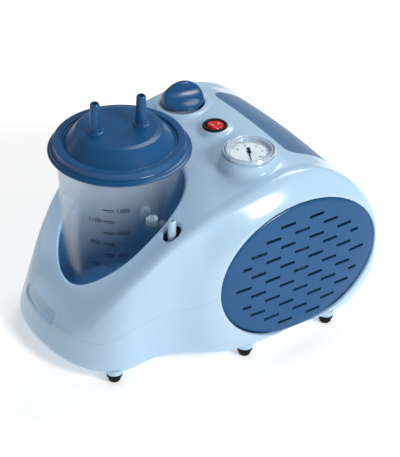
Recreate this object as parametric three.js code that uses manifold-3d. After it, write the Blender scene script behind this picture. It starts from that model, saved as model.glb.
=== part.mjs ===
// Portable suction pump: moulded housing, jar with lid, controls, and the motor pump inside.
// Millimetres, +Z up, origin at the bottom centre. The jar is at the front (-Y).
import * as THREE from 'three';
import { mergeVertices } from 'three/addons/utils/BufferGeometryUtils.js';
import Module from 'manifold-3d';

const wasm = await Module();
wasm.setup();

// ---------------------------------------------------------------- driving dimensions
const GAP = 0.3;                       // clearance between touching pieces
const WALL = 3;                        // housing wall
const FLOOR_Z = 10;                    // underside of the housing
const REAR_Y = 148.6;                  // rear face
const SKIN_DETAIL = 8;                 // fineness of the housing's outer and inner surfaces
const LINING_DETAIL = 6;

// Height of the deck along the centre line, as [y, z].
const DECK = [
  [-156, 22], [-146, 36], [-130, 53], [-117, 73], [-104, 89.5], [-89, 105], [-69, 123],
  [-55, 133], [-40, 142], [-24, 149], [-6, 155], [20, 163], [41, 168], [60, 170.5],
  [82, 168], [100, 160.5], [116, 149], [131, 132], [141.5, 112.5], [147, 93], [148.6, 76],
];
const CROWN = [[-60, 0], [40, 4], [148.6, 5]];          // drop of the deck at CROWN_X, as [y, drop]
const CROWN_X = 80;
const CROWN_MAX = 8;
// Half width of the housing low down and at deck height, as [y, x].
const WIDTH_LOW = [[-99, 77], [-65, 80], [-52, 82.5], [-37, 87], [-20, 90], [0, 93], [100, 92],
  [130, 86], [148.6, 70]];
const WIDTH_TOP = [[-99, 76], [-77, 79], [-55, 82], [-37, 84.5], [-6, 83.5], [41, 80.5],
  [100, 80], [130, 77], [148.6, 66]];
const LOW_Z = 12;                      // heights at which those widths hold
const TOP_Z = 90;
const NOSE = { yLow: -99, yTop: -84, aLow: 82, aTop: 75, bLow: 51, bTop: 38, power: 2.15 };
const NOSE_SCALE = 0.93;
const FENDER = { y: 59, z: 76, front: 88, rear: 92, b: 70, x: 111, slope: 0.85, grow: 32 };
const FENDER_LIFT = 4;                 // the fender's shoulder stands this far over the deck line
const CORE = { y: 5, z: 72, rx: 95, ry: 150, rz: 80 };  // inner point and stretch of the ray fan

const SEAM = [[-200, 37], [-130, 37], [-101, 50], [-80, 57], [-66, 62], [-45, 67], [-24, 77],
  [200, 77]];                          // parting line between base and cover, as [y, z]

const JAR_Y = -60;                     // jar axis
const WELL = { r: 57, wall: 2.4, floor: 19 };
const JAR = { rLow: 51, rTop: 55, z0: 21.8, z1: 192, wall: 2, neck: 54.6 };
const LID = { z: 185.5, flange: 63.3, wall: 58.3, rimTop: 195.6, ring: 50.5, plateau: 37, top: 207 };
const PORTS = [[-3.5, -82], [6.5, -41.5]];
const PORT = { top: 236, rTop: 4.2, rFoot: 5.4, bore: 2.6, collar: 7.5 };

const GRILLE = { y: 59, z: 78, a: 83.3, b: 66, x: 110.3, dome: 2.4, t: 1.8 };
const SLOT = { length: 16, short: 9, height: 3, pitch: 30.7, rowPitch: 10.3, z: 76.4, y: 59.6 };
const SLOT_ROWS = [2, 3, 4, 5, 4, 5, 4, 5, 4, 3, 2];  // slots in each row, top to bottom
const SHORT_ENDED = [3, 7];                           // rows whose outer slots are cut short

const KNOB = { x: -60, y: 44, z: 167, socket: 24.4, r: 20, lift: 3.3, height: 20.4, turn: 76 };
const SWITCH = { x: -6, y: 44, z: 170.5, pod: 12.6, bezel: 11.6 };
const GAUGE = { x: 51, y: 42, z: 173, pod: 24.4, ring: 23.3, face: 19.2 };
const NIPPLE = { x: 70, y: -51, hole: 8, r: 3.75, bore: 2, top: 146, foot: 120 };

const REAR = { y: 78, half: 64, corner: 14, bottom: 32 };
const POCKET = { half: 46, y: 116, z0: 98, z1: 126, wall: 2.2 };
const INLET = { x: -42, z: 66, w: 28, h: 46, depth: 24, flange: 3.5 };

const FEET = [[103, 5], [103, 95], [72, -113]];
const POSTS = [[86, 78], [66, -92]];                 // screw posts, one pair each side
const POST = { r: 4.5, z: 17 };

const MOTOR = { y: 72, z: 66, r: 37, x0: -52, x1: 10, bore: 27, shaft: 4 };
const PUMP = { x: 40, bore: 17, sleeve: 20.5, throwR: 3, caseTop: 98, sleeveTop: 129 };
const PLATE = { half: 72, y0: 22, y1: 112, z: 20, t: 2 };

const PALE = { color: 0xbcd9ec, roughness: 0.25, metalness: 0 };
const NAVY = { color: 0x2e5a8c, roughness: 0.28, metalness: 0 };
const SLATE = { color: 0x6e91b4, roughness: 0.5, metalness: 0 };
const RUBBER = { color: 0x14161a, roughness: 0.85, metalness: 0 };
const CLEAR = { color: 0xe8eef2, roughness: 0.08, metalness: 0 };
const BLACK = { color: 0x1a1b1d, roughness: 0.4, metalness: 0 };
const RED = { color: 0xd01818, roughness: 0.25, metalness: 0 };
const WHITE = { color: 0xf2f4f5, roughness: 0.6, metalness: 0 };
const STEEL = { color: 0x9aa0a6, roughness: 0.35, metalness: 1 };
const ALUMINIUM = { color: 0xb4b8bc, roughness: 0.45, metalness: 1 };
const SILICONE = { color: 0xd9dcd8, roughness: 0.6, metalness: 0 };

// ---------------------------------------------------------------- small helpers
const model = new THREE.Group();

function toSolid(geometry) {
  const bare = geometry.clone();
  for (const name of Object.keys(bare.attributes)) {
    if (name !== 'position') bare.deleteAttribute(name);
  }
  const merged = mergeVertices(bare, 1e-4);
  return new wasm.Manifold(new wasm.Mesh({
    numProp: 3,
    vertProperties: new Float32Array(merged.attributes.position.array),
    triVerts: new Uint32Array(merged.index.array),
  }));
}

function toGeometry(solid) {
  const mesh = solid.getMesh();
  const geometry = new THREE.BufferGeometry();
  geometry.setAttribute('position', new THREE.BufferAttribute(mesh.vertProperties, 3));
  geometry.setIndex(new THREE.BufferAttribute(mesh.triVerts, 1));
  geometry.computeVertexNormals();
  return geometry;
}

function add(name, shape, finish, parent = model) {
  const geometry = shape.isBufferGeometry ? shape : toGeometry(shape);
  const mesh = new THREE.Mesh(geometry, new THREE.MeshStandardMaterial(finish));
  mesh.name = name;
  parent.add(mesh);
  return mesh;
}

const X_AXIS = 'x';
const Y_AXIS = 'y';

// Turned piece: profile [[r, h], ...] about Z, or with h along X or Y.
function turned(profile, segments = 14, axis = 'z') {
  const points = profile.map(([r, h]) => new THREE.Vector2(r, h));
  const geometry = new THREE.LatheGeometry(points, segments);
  geometry.rotateX(Math.PI / 2);
  if (axis === X_AXIS) geometry.rotateY(Math.PI / 2);
  if (axis === Y_AXIS) geometry.rotateX(-Math.PI / 2);
  return geometry;
}

function rod(r, h0, h1, segments = 12, axis = 'z') {
  return turned([[0, h0], [r, h0], [r, h1], [0, h1]], segments, axis);
}

function ring(rIn, rOut, h0, h1, segments = 14, axis = 'z') {
  return turned([[rIn, h0], [rOut, h0], [rOut, h1], [rIn, h1], [rIn, h0]], segments, axis);
}

function block(x0, x1, y0, y1, z0, z1) {
  const geometry = new THREE.BoxGeometry(x1 - x0, y1 - y0, z1 - z0);
  return geometry.translate((x0 + x1) / 2, (y0 + y1) / 2, (z0 + z1) / 2);
}

// Prism of an outline: in the (y, z) plane along X, or in the (x, y) plane along Z.
function prism(outline, h0, h1, axis = 'z') {
  const shape = new THREE.Shape(outline.map(([u, v]) => new THREE.Vector2(u, v)));
  const geometry = new THREE.ExtrudeGeometry(shape, { depth: h1 - h0, bevelEnabled: false });
  geometry.translate(0, 0, h0);
  if (axis === X_AXIS) {
    const turn = new THREE.Matrix4().makeBasis(
      new THREE.Vector3(0, 1, 0), new THREE.Vector3(0, 0, 1), new THREE.Vector3(1, 0, 0));
    geometry.applyMatrix4(turn);
  }
  return geometry;
}

function tube(points, r, steps) {
  const path = new THREE.CatmullRomCurve3(points.map(([x, y, z]) => new THREE.Vector3(x, y, z)));
  const section = new THREE.Shape();
  section.absarc(0, 0, r, 0, Math.PI * 2);
  return new THREE.ExtrudeGeometry(section, { steps, curveSegments: 4, extrudePath: path });
}

const cut = (shape, ...tools) => tools.reduce((a, b) => a.subtract(b), shape);
const join = (shape, ...others) => others.reduce((a, b) => a.add(b), shape);
const solidRod = (...args) => toSolid(rod(...args));
const solidBlock = (...args) => toSolid(block(...args));

// ---------------------------------------------------------------- housing surface
const clamp = (v, lo, hi) => Math.min(Math.max(v, lo), hi);

function smoothMin(a, b, k) {
  const h = Math.max(k - Math.abs(a - b), 0) / k;
  return Math.min(a, b) - h * h * k / 4;
}

const smoothMax = (a, b, k) => -smoothMin(-a, -b, k);

// Monotone cubic through [t, value] pairs, held level beyond the ends.
function curve(pairs) {
  const t = pairs.map((p) => p[0]);
  const v = pairs.map((p) => p[1]);
  const step = t.slice(1).map((value, i) => value - t[i]);
  const slope = step.map((h, i) => (v[i + 1] - v[i]) / h);
  const tangent = v.map((_, i) => {
    if (i === 0) return slope[0];
    if (i === slope.length) return slope[i - 1];
    if (slope[i - 1] * slope[i] <= 0) return 0;
    const [h0, h1] = [step[i - 1], step[i]];
    return 3 * (h0 + h1) / ((2 * h1 + h0) / slope[i - 1] + (h1 + 2 * h0) / slope[i]);
  });
  return (at) => {
    const x = clamp(at, t[0], t[t.length - 1]);
    let i = 0;
    while (i < step.length - 1 && x > t[i + 1]) i += 1;
    const u = (x - t[i]) / step[i];
    const rise = u * u * (3 - 2 * u);
    return v[i] * (1 - rise) + v[i + 1] * rise
      + step[i] * u * (1 - u) * (tangent[i] * (1 - u) - tangent[i + 1] * u);
  };
}

// Distance to an ellipse-like outline of the given power.
function ellipse(a, b, radiusA, radiusB, power) {
  const [u, v] = [Math.abs(a) / radiusA, Math.abs(b) / radiusB];
  const r = (u ** power + v ** power) ** (1 / power) + 1e-9;
  const steep = Math.hypot(u ** (power - 1) / radiusA, v ** (power - 1) / radiusB);
  return (r - 1) / (steep / r ** (power - 1) + 1e-9);
}

const deckHeight = curve(DECK);
const crownDrop = curve(CROWN);
const lowWidth = curve(WIDTH_LOW);
const topWidth = curve(WIDTH_TOP);

function deckField(x, y, z) {
  const drop = Math.min(crownDrop(y) * (x / CROWN_X) ** 2, CROWN_MAX);
  const slope = (deckHeight(y + 1.5) - deckHeight(y - 1.5)) / 3;
  return (z - deckHeight(y) + drop) / Math.hypot(1, slope);
}

function trunkField(x, y, z) {
  const rise = clamp((z - LOW_Z) / (TOP_Z - LOW_Z), 0, 1);
  const mix = (low, top) => low + (top - low) * rise;
  const side = (x - mix(lowWidth(y), topWidth(y))) * 0.98;
  const trunk = smoothMax(smoothMax(side, y - REAR_Y, 60), -88 - y, 30);
  const nose = NOSE_SCALE * ellipse(x, y - mix(NOSE.yLow, NOSE.yTop),
    mix(NOSE.aLow, NOSE.aTop), mix(NOSE.bLow, NOSE.bTop), NOSE.power);
  return smoothMin(trunk, nose, 14);
}

function fenderField(x, y, z) {
  const grow = FENDER.slope * clamp(FENDER.x - x, 0, FENDER.grow);
  const ahead = y < FENDER.y;
  const below = ahead ? 4 : 2.4;
  const disc = ellipse(y - FENDER.y, z - FENDER.z, ahead ? FENDER.front : FENDER.rear,
    FENDER.b, z > FENDER.z ? 2 : below);
  return smoothMax((disc - grow) / Math.hypot(1, FENDER.slope), x - FENDER.x, 14);
}

function housingField(xSigned, y, z) {
  const x = Math.abs(xSigned);
  const deck = deckField(x, y, z);
  const lift = FENDER_LIFT * THREE.MathUtils.smoothstep(x, 78, 98);
  let field = smoothMax(trunkField(x, y, z), deck, 6);
  field = smoothMin(field, fenderField(x, y, z), 30);
  field = smoothMax(field, deck - lift, 8);
  field = smoothMax(field, y - REAR_Y, 8);
  return smoothMax(field, FLOOR_Z - z, 8);
}

// Closed surface where the housing field equals -inset, found along a fan of rays.
function housingSurface(inset, detail) {
  const fan = new THREE.IcosahedronGeometry(1, detail);
  const position = fan.attributes.position;
  for (let i = 0; i < position.count; i += 1) {
    const ray = new THREE.Vector3().fromBufferAttribute(position, i)
      .multiply(new THREE.Vector3(CORE.rx, CORE.ry, CORE.rz));
    const at = (t) => housingField(ray.x * t, CORE.y + ray.y * t, CORE.z + ray.z * t) + inset;
    let far = 0.4;
    while (at(far) < 0) far += 0.04;
    let near = far - 0.04;
    for (let n = 0; n < 18; n += 1) {
      const middle = (near + far) / 2;
      if (at(middle) < 0) near = middle; else far = middle;
    }
    position.setXYZ(i, ray.x * near, CORE.y + ray.y * near, CORE.z + ray.z * near);
  }
  return toSolid(fan);
}

const skin = housingSurface(0, SKIN_DETAIL);
const lining = housingSurface(WALL, LINING_DETAIL);

// Everything above or below the parting line, kept half a gap away from it.
function seamSide(above) {
  const shift = above ? GAP / 2 : -GAP / 2;
  const line = SEAM.map(([y, z]) => [y, z + shift]);
  const far = above ? 300 : -50;
  return toSolid(prism([...line, [200, far], [-200, far]], -200, 200, X_AXIS));
}

const upper = seamSide(true);
const lower = seamSide(false);
const sides = [['right', 1], ['left', -1]];

// Elliptical plug through one fender wall.
function fenderPlug(side, a, b, x0, x1) {
  const geometry = rod(1, Math.min(side * x0, side * x1), Math.max(side * x0, side * x1), 36, X_AXIS);
  return toSolid(geometry.scale(1, a, b).translate(0, GRILLE.y, GRILLE.z));
}

// Region of the rear panel seen from above, grown by a clearance.
function rearRegion(grow) {
  const { y, half, corner, bottom } = REAR;
  const rounded = [];
  for (let n = 0; n <= 6; n += 1) {
    const angle = n * Math.PI / 12;
    rounded.push([half - corner + (corner + grow) * Math.cos(angle),
      y + corner - (corner + grow) * Math.sin(angle)]);
  }
  const mirrored = rounded.map(([x, at]) => [-x, at]).reverse();
  const back = REAR_Y + 20;
  const outline = [[half + grow, back], ...rounded, ...mirrored, [-half - grow, back]].reverse();
  return toSolid(prism(outline, bottom - grow, 260));
}

const cone = (x, y, r0, z0, r1, z1) =>
  toSolid(turned([[0, z0], [r0, z0], [r1, z1], [0, z1]], 20).translate(x, y, 0));
const column = (x, y, r, z0, z1, segments = 14) => toSolid(rod(r, z0, z1, segments).translate(x, y, 0));

// ---------------------------------------------------------------- housing shells
function wallWithPods() {
  const pods = [
    cone(KNOB.x, KNOB.y, KNOB.socket + 2.6, 150, KNOB.socket, KNOB.z),
    cone(SWITCH.x, SWITCH.y, SWITCH.pod + 2, 152, SWITCH.pod, SWITCH.z),
    cone(GAUGE.x, GAUGE.y, GAUGE.pod + 6.4, 141, GAUGE.pod, GAUGE.z),
  ];
  const hollows = [
    column(KNOB.x, KNOB.y, KNOB.socket - 3, 130, KNOB.z - 5),
    column(SWITCH.x, SWITCH.y, SWITCH.pod - 1.5, 130, SWITCH.z - 3.5),
    column(GAUGE.x, GAUGE.y, GAUGE.pod - 0.5, 130, 156),
  ];
  return cut(join(skin, ...pods), join(lining, ...hollows));
}

function housing() {
  const ports = [
    toSolid(rod(WELL.r, 30, 260, 32).translate(0, JAR_Y, 0)),
    column(NIPPLE.x, NIPPLE.y, NIPPLE.hole, NIPPLE.foot, 200),
    column(KNOB.x, KNOB.y, KNOB.r + 0.6, KNOB.z - 1.5, 200),
    column(KNOB.x, KNOB.y, 6.3, 130, 200, 16),
    column(SWITCH.x, SWITCH.y, 9.8, 130, 200),
    column(GAUGE.x, GAUGE.y, 21.2, 130, 200, 20),
    rearRegion(GAP),
    ...sides.map(([, side]) => fenderPlug(side, GRILLE.a + GAP, GRILLE.b + GAP, 92, 130)),
  ];
  return cut(wallWithPods(), ...ports);
}

const eachSide = (pairs) => pairs.flatMap(([x, y]) => [[x, y], [-x, y]]);

function addShells() {
  const walls = housing();
  const posts = eachSide(POSTS);
  const cover = join(walls.intersect(upper),
    ...posts.map(([x, y]) => cut(column(x, y, POST.r, POST.z, 260, 8),
      column(x, y, 1.8, 0, 32, 8)).intersect(skin)));
  add('top_cover', cover, PALE);
  const bosses = [
    ...eachSide(FEET).map(([x, y]) => column(x, y, 8, FLOOR_Z - 1, FLOOR_Z + 4, 12)),
    ...posts.map(([x, y]) => column(x, y, POST.r, FLOOR_Z + 1, POST.z - GAP, 8)),
  ];
  const drills = posts.map(([x, y]) => column(x, y, 1.8, 0, 20, 8));
  add('base_shell', cut(join(walls.intersect(lower), ...bosses), ...drills), PALE);
  const posted = posts.map(([x, y]) => column(x, y, 5, 0, 260, 12));
  const inside = housingSurface(WALL + GAP, LINING_DETAIL);
  const cup = cut(toSolid(rod(WELL.r + WELL.wall, WELL.floor, 260, 32).translate(0, JAR_Y, 0)),
    toSolid(rod(WELL.r, WELL.floor + WELL.wall, 270, 32).translate(0, JAR_Y, 0)), ...posted);
  add('jar_well', cup.intersect(inside), PALE);
}

// ---------------------------------------------------------------- grilles and rear panel
function slotTools(side) {
  const tools = [];
  const x = side * GRILLE.x;
  const middle = (SLOT_ROWS.length - 1) / 2;
  SLOT_ROWS.forEach((count, row) => {
    const z = SLOT.z + (middle - row) * SLOT.rowPitch;
    for (let n = 0; n < count; n += 1) {
      const from = n - (count - 1) / 2;
      const clipped = SHORT_ENDED.includes(row) && (n === 0 || n === count - 1);
      const inner = SLOT.length / 2;
      const outer = clipped ? SLOT.short - inner : inner;
      const y = SLOT.y + from * SLOT.pitch;
      const [y0, y1] = from < 0 ? [y - outer, y + inner] : [y - inner, y + outer];
      tools.push(solidBlock(x - 12, x + 12, y0, y1, z - SLOT.height / 2, z + SLOT.height / 2));
    }
  });
  return tools;
}

function addGrilles() {
  const { a, b, x, dome, t } = GRILLE;
  const profile = [[0, x], [0.88, x], [0.97, x - dome * 0.7], [1, x - dome], [1, x - dome - 6],
    [0.97, x - dome - 6], [0.97, x - dome - t], [0.88, x - t], [0, x - t]].reverse();
  for (const [label, side] of sides) {
    const plate = turned(profile, 36, X_AXIS).scale(1, a, b).translate(0, GRILLE.y, GRILLE.z);
    if (side < 0) plate.rotateZ(Math.PI).translate(0, 2 * GRILLE.y, 0);
    add(`side_grille_${label}`, cut(toSolid(plate), ...slotTools(side)), NAVY);
  }
}

function addRearPanel() {
  const { half, y, z0, z1, wall } = POCKET;
  const sheet = cut(skin.intersect(rearRegion(0)), lining);
  const tub = solidBlock(-half - wall, half + wall, y, 170, z0 - wall, z1 + wall).intersect(skin);
  const hand = solidBlock(-half, half, y + wall, 180, z0, z1);
  const seatW = INLET.w / 2 + INLET.flange;
  const seatH = INLET.h / 2 + INLET.flange;
  const boss = solidBlock(INLET.x - seatW - 2, INLET.x + seatW + 2, 140, 170,
    INLET.z - seatH - 2, INLET.z + seatH + 2).intersect(skin);
  const seat = solidBlock(INLET.x - seatW - GAP, INLET.x + seatW + GAP, REAR_Y - 3 - GAP, 180,
    INLET.z - seatH - GAP, INLET.z + seatH + GAP);
  const opening = solidBlock(INLET.x - INLET.w / 2 - GAP, INLET.x + INLET.w / 2 + GAP, 100, 180,
    INLET.z - INLET.h / 2 - GAP, INLET.z + INLET.h / 2 + GAP);
  add('rear_handle', cut(join(sheet, tub, boss), hand, seat, opening), SLATE);
}

function addInlet() {
  const group = new THREE.Group();
  group.position.set(INLET.x, REAR_Y - 3, INLET.z);
  model.add(group);
  const w = INLET.w / 2;
  const h = INLET.h / 2;
  const lip = INLET.flange;
  const body = join(solidBlock(-w, w, -INLET.depth, 0.5, -h, h),
    solidBlock(-w - lip, w + lip, 0, 2.6, -h - lip, h + lip));
  const socket = solidBlock(-12, 12, -16, 10, 2, 19.5);
  const bay = solidBlock(-11, 11, -16, 10, -19.5, -8.5);
  const pins = [[-7, 9], [0, 13], [7, 9]].map(([x, z]) =>
    solidBlock(x - 1, x + 1, -16.5, -4, z - 2, z + 2));
  add('power_inlet', join(cut(body, socket, bay), ...pins), BLACK, group);
  const drawer = join(solidBlock(-10.7, 10.7, -15.5, 1.4, -19.2, -8.8),
    solidBlock(-4, 4, 1, 3, -17.5, -15.5));
  add('fuse_drawer', cut(drawer, solidBlock(-8, 8, -13, -3, -17, 0)), BLACK, group);
}

// ---------------------------------------------------------------- feet and screws
function addFeet() {
  const profile = [[0, 0], [4.2, 0], [5.4, 1.6], [5.6, 5.2], [7.2, 5.8], [7.4, 8.7], [0, 8.7]];
  let n = 1;
  for (const [x, y] of eachSide(FEET)) {
    add(`foot_${n}`, turned(profile, 12), RUBBER).position.set(x, y, 0);
    n += 1;
  }
}

function addScrews() {
  const profile = [[0, 7.9], [3.2, 7.9], [3.4, 9.7], [1.5, 9.7], [1.5, 29], [0, 31]];
  eachSide(POSTS).forEach(([x, y], n) => {
    add(`housing_screw_${n + 1}`, turned(profile, 8), STEEL).position.set(x, y, 0);
  });
}

// ---------------------------------------------------------------- jar and lid
function addJar() {
  const { rLow, rTop, z0, z1, wall, neck } = JAR;
  const outer = [[0, z0], [rLow - 4, z0], [rLow, z0 + 4], [rTop, 180], [neck, z1]];
  const floor = z0 + wall + 0.5;
  const inner = [[neck - wall, z1], [rTop - wall, 180], [rLow - wall, z0 + 6], [rLow - 6, floor],
    [0, floor]];
  add('collection_jar', turned([...outer, ...inner], 32), CLEAR).position.set(0, JAR_Y, 0);
}

function addLid() {
  const { z, flange, wall, rimTop, ring: ringR, plateau, top } = LID;
  const outer = [[flange, z], [flange, z + 1.6], [wall + 0.9, z + 4.2], [wall, z + 5.6],
    [wall - 0.4, rimTop - 1], [wall - 1.4, rimTop], [ringR, rimTop], [ringR - 1.5, rimTop + 0.6],
    [plateau, top - 0.6], [plateau - 3, top], [0, top]];
  const inner = [[0, top - 2.4], [plateau - 1, top - 2.6], [ringR - 2.5, rimTop - 2.3],
    [56.2, rimTop - 2.3], [56.2, z + 2], [flange - 2, z]];
  const shell = toSolid(turned([...outer, ...inner, outer[0]], 30).translate(0, JAR_Y, 0));
  const spigot = [[0, top - 1], [PORT.collar, top - 1], [PORT.collar, top + 1.2], [PORT.rFoot, top + 2.4],
    [PORT.rTop, PORT.top - 1], [PORT.rTop - 0.6, PORT.top], [0, PORT.top]];
  const spigots = PORTS.map(([x, y]) => toSolid(turned(spigot, 12).translate(x, y, 0)));
  const bores = PORTS.map(([x, y]) => column(x, y, PORT.bore, 190, 250, 10));
  add('jar_lid', cut(join(shell, ...spigots), ...bores), NAVY);
  add('lid_gasket', ring(52.8, 55.8, JAR.z1 + GAP, 193, 24), SILICONE).position.set(0, JAR_Y, 0);
}

const FLOAT = { x: 14, y: -36, top: 204.1, neck: 126, bottom: 102 };

function addFloat() {
  const group = new THREE.Group();
  group.position.set(FLOAT.x, FLOAT.y, 0);
  model.add(group);
  const { top, neck, bottom } = FLOAT;
  const tubeAndCup = [[3, top], [5, top], [5, neck], [7.6, neck - 2], [7.6, bottom], [3, bottom],
    [3, bottom + 1.6], [6.2, bottom + 1.6], [6.2, neck - 4], [3, neck - 1], [3, top]];
  const cage = toSolid(turned(tubeAndCup.reverse(), 12));
  const windows = [solidBlock(-2.4, 2.4, -10, 10, bottom + 3, neck - 7),
    solidBlock(-10, 10, -2.4, 2.4, bottom + 3, neck - 7)];
  add('float_cage', cut(cage, ...windows), WHITE, group);
  const plug = [[0, 104], [4.4, 104.2], [5.5, 105.5], [5.5, 111], [2.5, 113.2], [0, 113.4]];
  add('shutoff_float', turned(plug, 14), SILICONE, group);
}

// ---------------------------------------------------------------- controls on the deck
// Low round cap with a grip across it, cut from one dome.
function knobShape() {
  const base = KNOB.z + KNOB.lift;
  const rise = [[0, 0], [19.4, 0], [KNOB.r, 1.5], [19.5, 6], [17.4, 11.2], [13.8, 15.4], [9, 18.4],
    [4, 20], [0, KNOB.height]];
  const dome = toSolid(turned(rise, 24));
  const side = [[25, -1], [25, 3.4], [17, 4.4], [10.4, 6], [6.4, 9], [4.6, 15], [4.3, 22]];
  const mirrored = side.map(([across, h]) => [-across, h]).reverse();
  const keep = toSolid(prism([...side, ...mirrored], -25, 25, X_AXIS)
    .rotateZ(THREE.MathUtils.degToRad(KNOB.turn)));
  const stem = solidRod(3, 150 - base, 1);
  return join(dome.intersect(keep), stem).translate([KNOB.x, KNOB.y, base]);
}

function addKnob() {
  add('regulator_knob', knobShape(), NAVY);
  add('regulator_collar', ring(3.4, 6, 158.8, 165.2, 12), STEEL).position.set(KNOB.x, KNOB.y, 0);
  const profile = [[0, 138], [9, 138], [11, 141], [11, 158.5], [3.4, 158.5], [3.4, 147], [0, 147]];
  const valve = toSolid(turned(profile, 14).translate(KNOB.x, KNOB.y, 0));
  const barb = toSolid(rod(3, 8, 20, 12, Y_AXIS).rotateZ(Math.PI).translate(KNOB.x, KNOB.y, 143));
  add('regulator_valve', join(valve, barb), BLACK);
}

function addSwitch() {
  const { x, y, z, bezel } = SWITCH;
  const cup = [[0, 152], [9.5, 152], [9.5, z + GAP], [bezel, z + GAP], [bezel - 0.6, z + 2], [8.3, z + 1.6],
    [8.3, 156], [0, 156]];
  add('switch_body', turned(cup, 16), BLACK).position.set(x, y, 0);
  const top = [[-9, -6], [9, -6], [9, 5.6], [0, 4.4], [-9, 5.6]];
  const wedge = toSolid(prism(top, -9, 9, X_AXIS));
  const rocker = toGeometry(wedge.intersect(solidRod(7.2, -5, 8, 28)));
  const group = new THREE.Group();
  group.position.set(x, y, SWITCH.z - 3);
  group.rotation.x = THREE.MathUtils.degToRad(-8);
  model.add(group);
  add('switch_rocker', rocker, RED, group);
}

function addGauge() {
  const group = new THREE.Group();
  group.position.set(GAUGE.x, GAUGE.y, 0);
  model.add(group);
  const { ring: r, face } = GAUGE;
  const body = [[0, 150], [20.9, 150], [20.9, 173.3], [r, 173.3], [r, 175], [face + GAP, 175],
    [face + GAP, 172.2], [18, 172.2], [18, 152], [0, 152]];
  const can = toSolid(turned(body, 20));
  add('gauge_body', join(can, solidRod(3, 140, 150.5, 12)), STEEL, group);
  add('gauge_dial', ring(0.9, face, 172.5, 173.2, 20), WHITE, group);
  const pointer = toSolid(prism([[-5, -0.9], [14, -0.35], [14, 0.35], [-5, 0.9]], 173.6, 174.2));
  const needle = join(solidRod(1.9, 173.5, 174.5, 16), pointer, solidRod(0.6, 156, 174, 8));
  add('gauge_needle', toGeometry(needle).rotateZ(-Math.PI * 0.155), BLACK, group);
  const lens = [[0, 174.8], [18.8, 174.8], [18.8, 175.8], [0, 176.8]];
  add('gauge_lens', turned(lens, 20), CLEAR, group);
  const bezel = [[face, 175.3], [r, 175.3], [r, 176.2], [r - 1, 177], [face + 0.8, 177], [face, 175.3]];
  add('gauge_bezel', turned(bezel, 20), STEEL, group);
}

function addNipple() {
  const { r, bore, top, foot } = NIPPLE;
  const spout = [[bore, foot - 8], [r, foot - 8], [r, foot - 0.5], [r + 2.5, foot - 0.5],
    [r + 2.5, foot + 1.6], [r, foot + 1.6], [r - 0.2, top - 1.4], [r - 0.9, top], [bore, top],
    [bore, foot - 8]];
  add('vacuum_nipple', turned(spout, 14), PALE).position.set(NIPPLE.x, NIPPLE.y, 0);
}

// ---------------------------------------------------------------- motor
const machine = new THREE.Group();                    // motor axis along X through its origin
machine.position.set(0, MOTOR.y, MOTOR.z);
model.add(machine);

function addMotor() {
  const { r, x0, x1, bore, shaft } = MOTOR;
  const footZ = PLATE.z + PLATE.t + GAP - MOTOR.z;
  const can = toSolid(ring(bore, r, x0, x1, 24, X_AXIS));
  const saddles = [x0 + 4, x1 - 14].map((x) => solidBlock(x, x + 10, -24, 24, footZ, -24));
  const hole = solidRod(bore, x0 - 1, x1 + 1, 24, X_AXIS);
  add('motor_housing', cut(join(can, ...saddles), hole), ALUMINIUM, machine);
  add('rotor_core', ring(shaft + GAP, bore - 0.6, x0 + 6, x1 - 6, 20, X_AXIS), STEEL, machine);
  add('motor_shaft', rod(shaft, x0 - 30, 46, 16, X_AXIS), STEEL, machine);
  add('motor_end_bell', ring(11.3, r, x0 - 10, x0 - GAP, 20, X_AXIS), ALUMINIUM, machine);
  add('bearing_rear', ring(shaft + GAP, 11, x0 - 9, x0 - 2, 14, X_AXIS), STEEL, machine);
  add('bearing_front', ring(shaft + GAP, 11, 12, 18.6, 14, X_AXIS), STEEL, machine);
}

function addFan() {
  const x = MOTOR.x0 - 28;
  const hub = toSolid(ring(MOTOR.shaft + GAP, 9, x, x + 13, 12, X_AXIS));
  const blades = [];
  for (let n = 0; n < 7; n += 1) {
    const blade = block(-5.5, 5.5, -0.9, 0.9, 7.5, 30);
    blade.rotateZ(Math.PI / 6).rotateX(n * 2 * Math.PI / 7).translate(x + 6.5, 0, 0);
    blades.push(toSolid(blade));
  }
  add('cooling_fan', join(hub, ...blades), BLACK, machine);
}

// ---------------------------------------------------------------- piston pump
function addCrank() {
  const { x, throwR, caseTop } = PUMP;
  const [low, high] = [PLATE.z + PLATE.t + GAP - MOTOR.z, caseTop - MOTOR.z];
  const studs = [-18, 18].flatMap((dx) => [-18, 18].map((dy) => [x + dx, dy]));
  const holes = studs.map(([sx, sy]) => column(sx, sy, 1.8, high - 5, high + 1, 10));
  const box = cut(solidBlock(14, 62, -30, 30, low, high), solidBlock(19, 80, -25, 25, low + 6, high - 6),
    solidRod(11.3, 10, 24, 24, X_AXIS), column(x, 0, 17.6, high - 10, high + 5, 20), ...holes);
  add('crankcase', box, ALUMINIUM, machine);
  const cam = toSolid(rod(9, x - 4, x + 4, 18, X_AXIS).translate(0, 0, throwR));
  const hub = solidRod(8, 24, x - 3, 12, X_AXIS);
  const weight = solidBlock(24, 33, -13, 13, -20, -3);
  const bore = solidRod(MOTOR.shaft + GAP, 10, 60, 16, X_AXIS);
  add('eccentric', cut(join(cam, hub, weight), bore), STEEL, machine);
  const eye = toSolid(ring(15.5, 19, x - 3, x + 3, 20, X_AXIS));
  const shank = solidBlock(x - 3, x + 3, -4, 4, 18, 42);
  add('connecting_rod', join(eye, shank, column(x, 0, 15.5, 40, 45, 20)), ALUMINIUM, machine);
}

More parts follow.
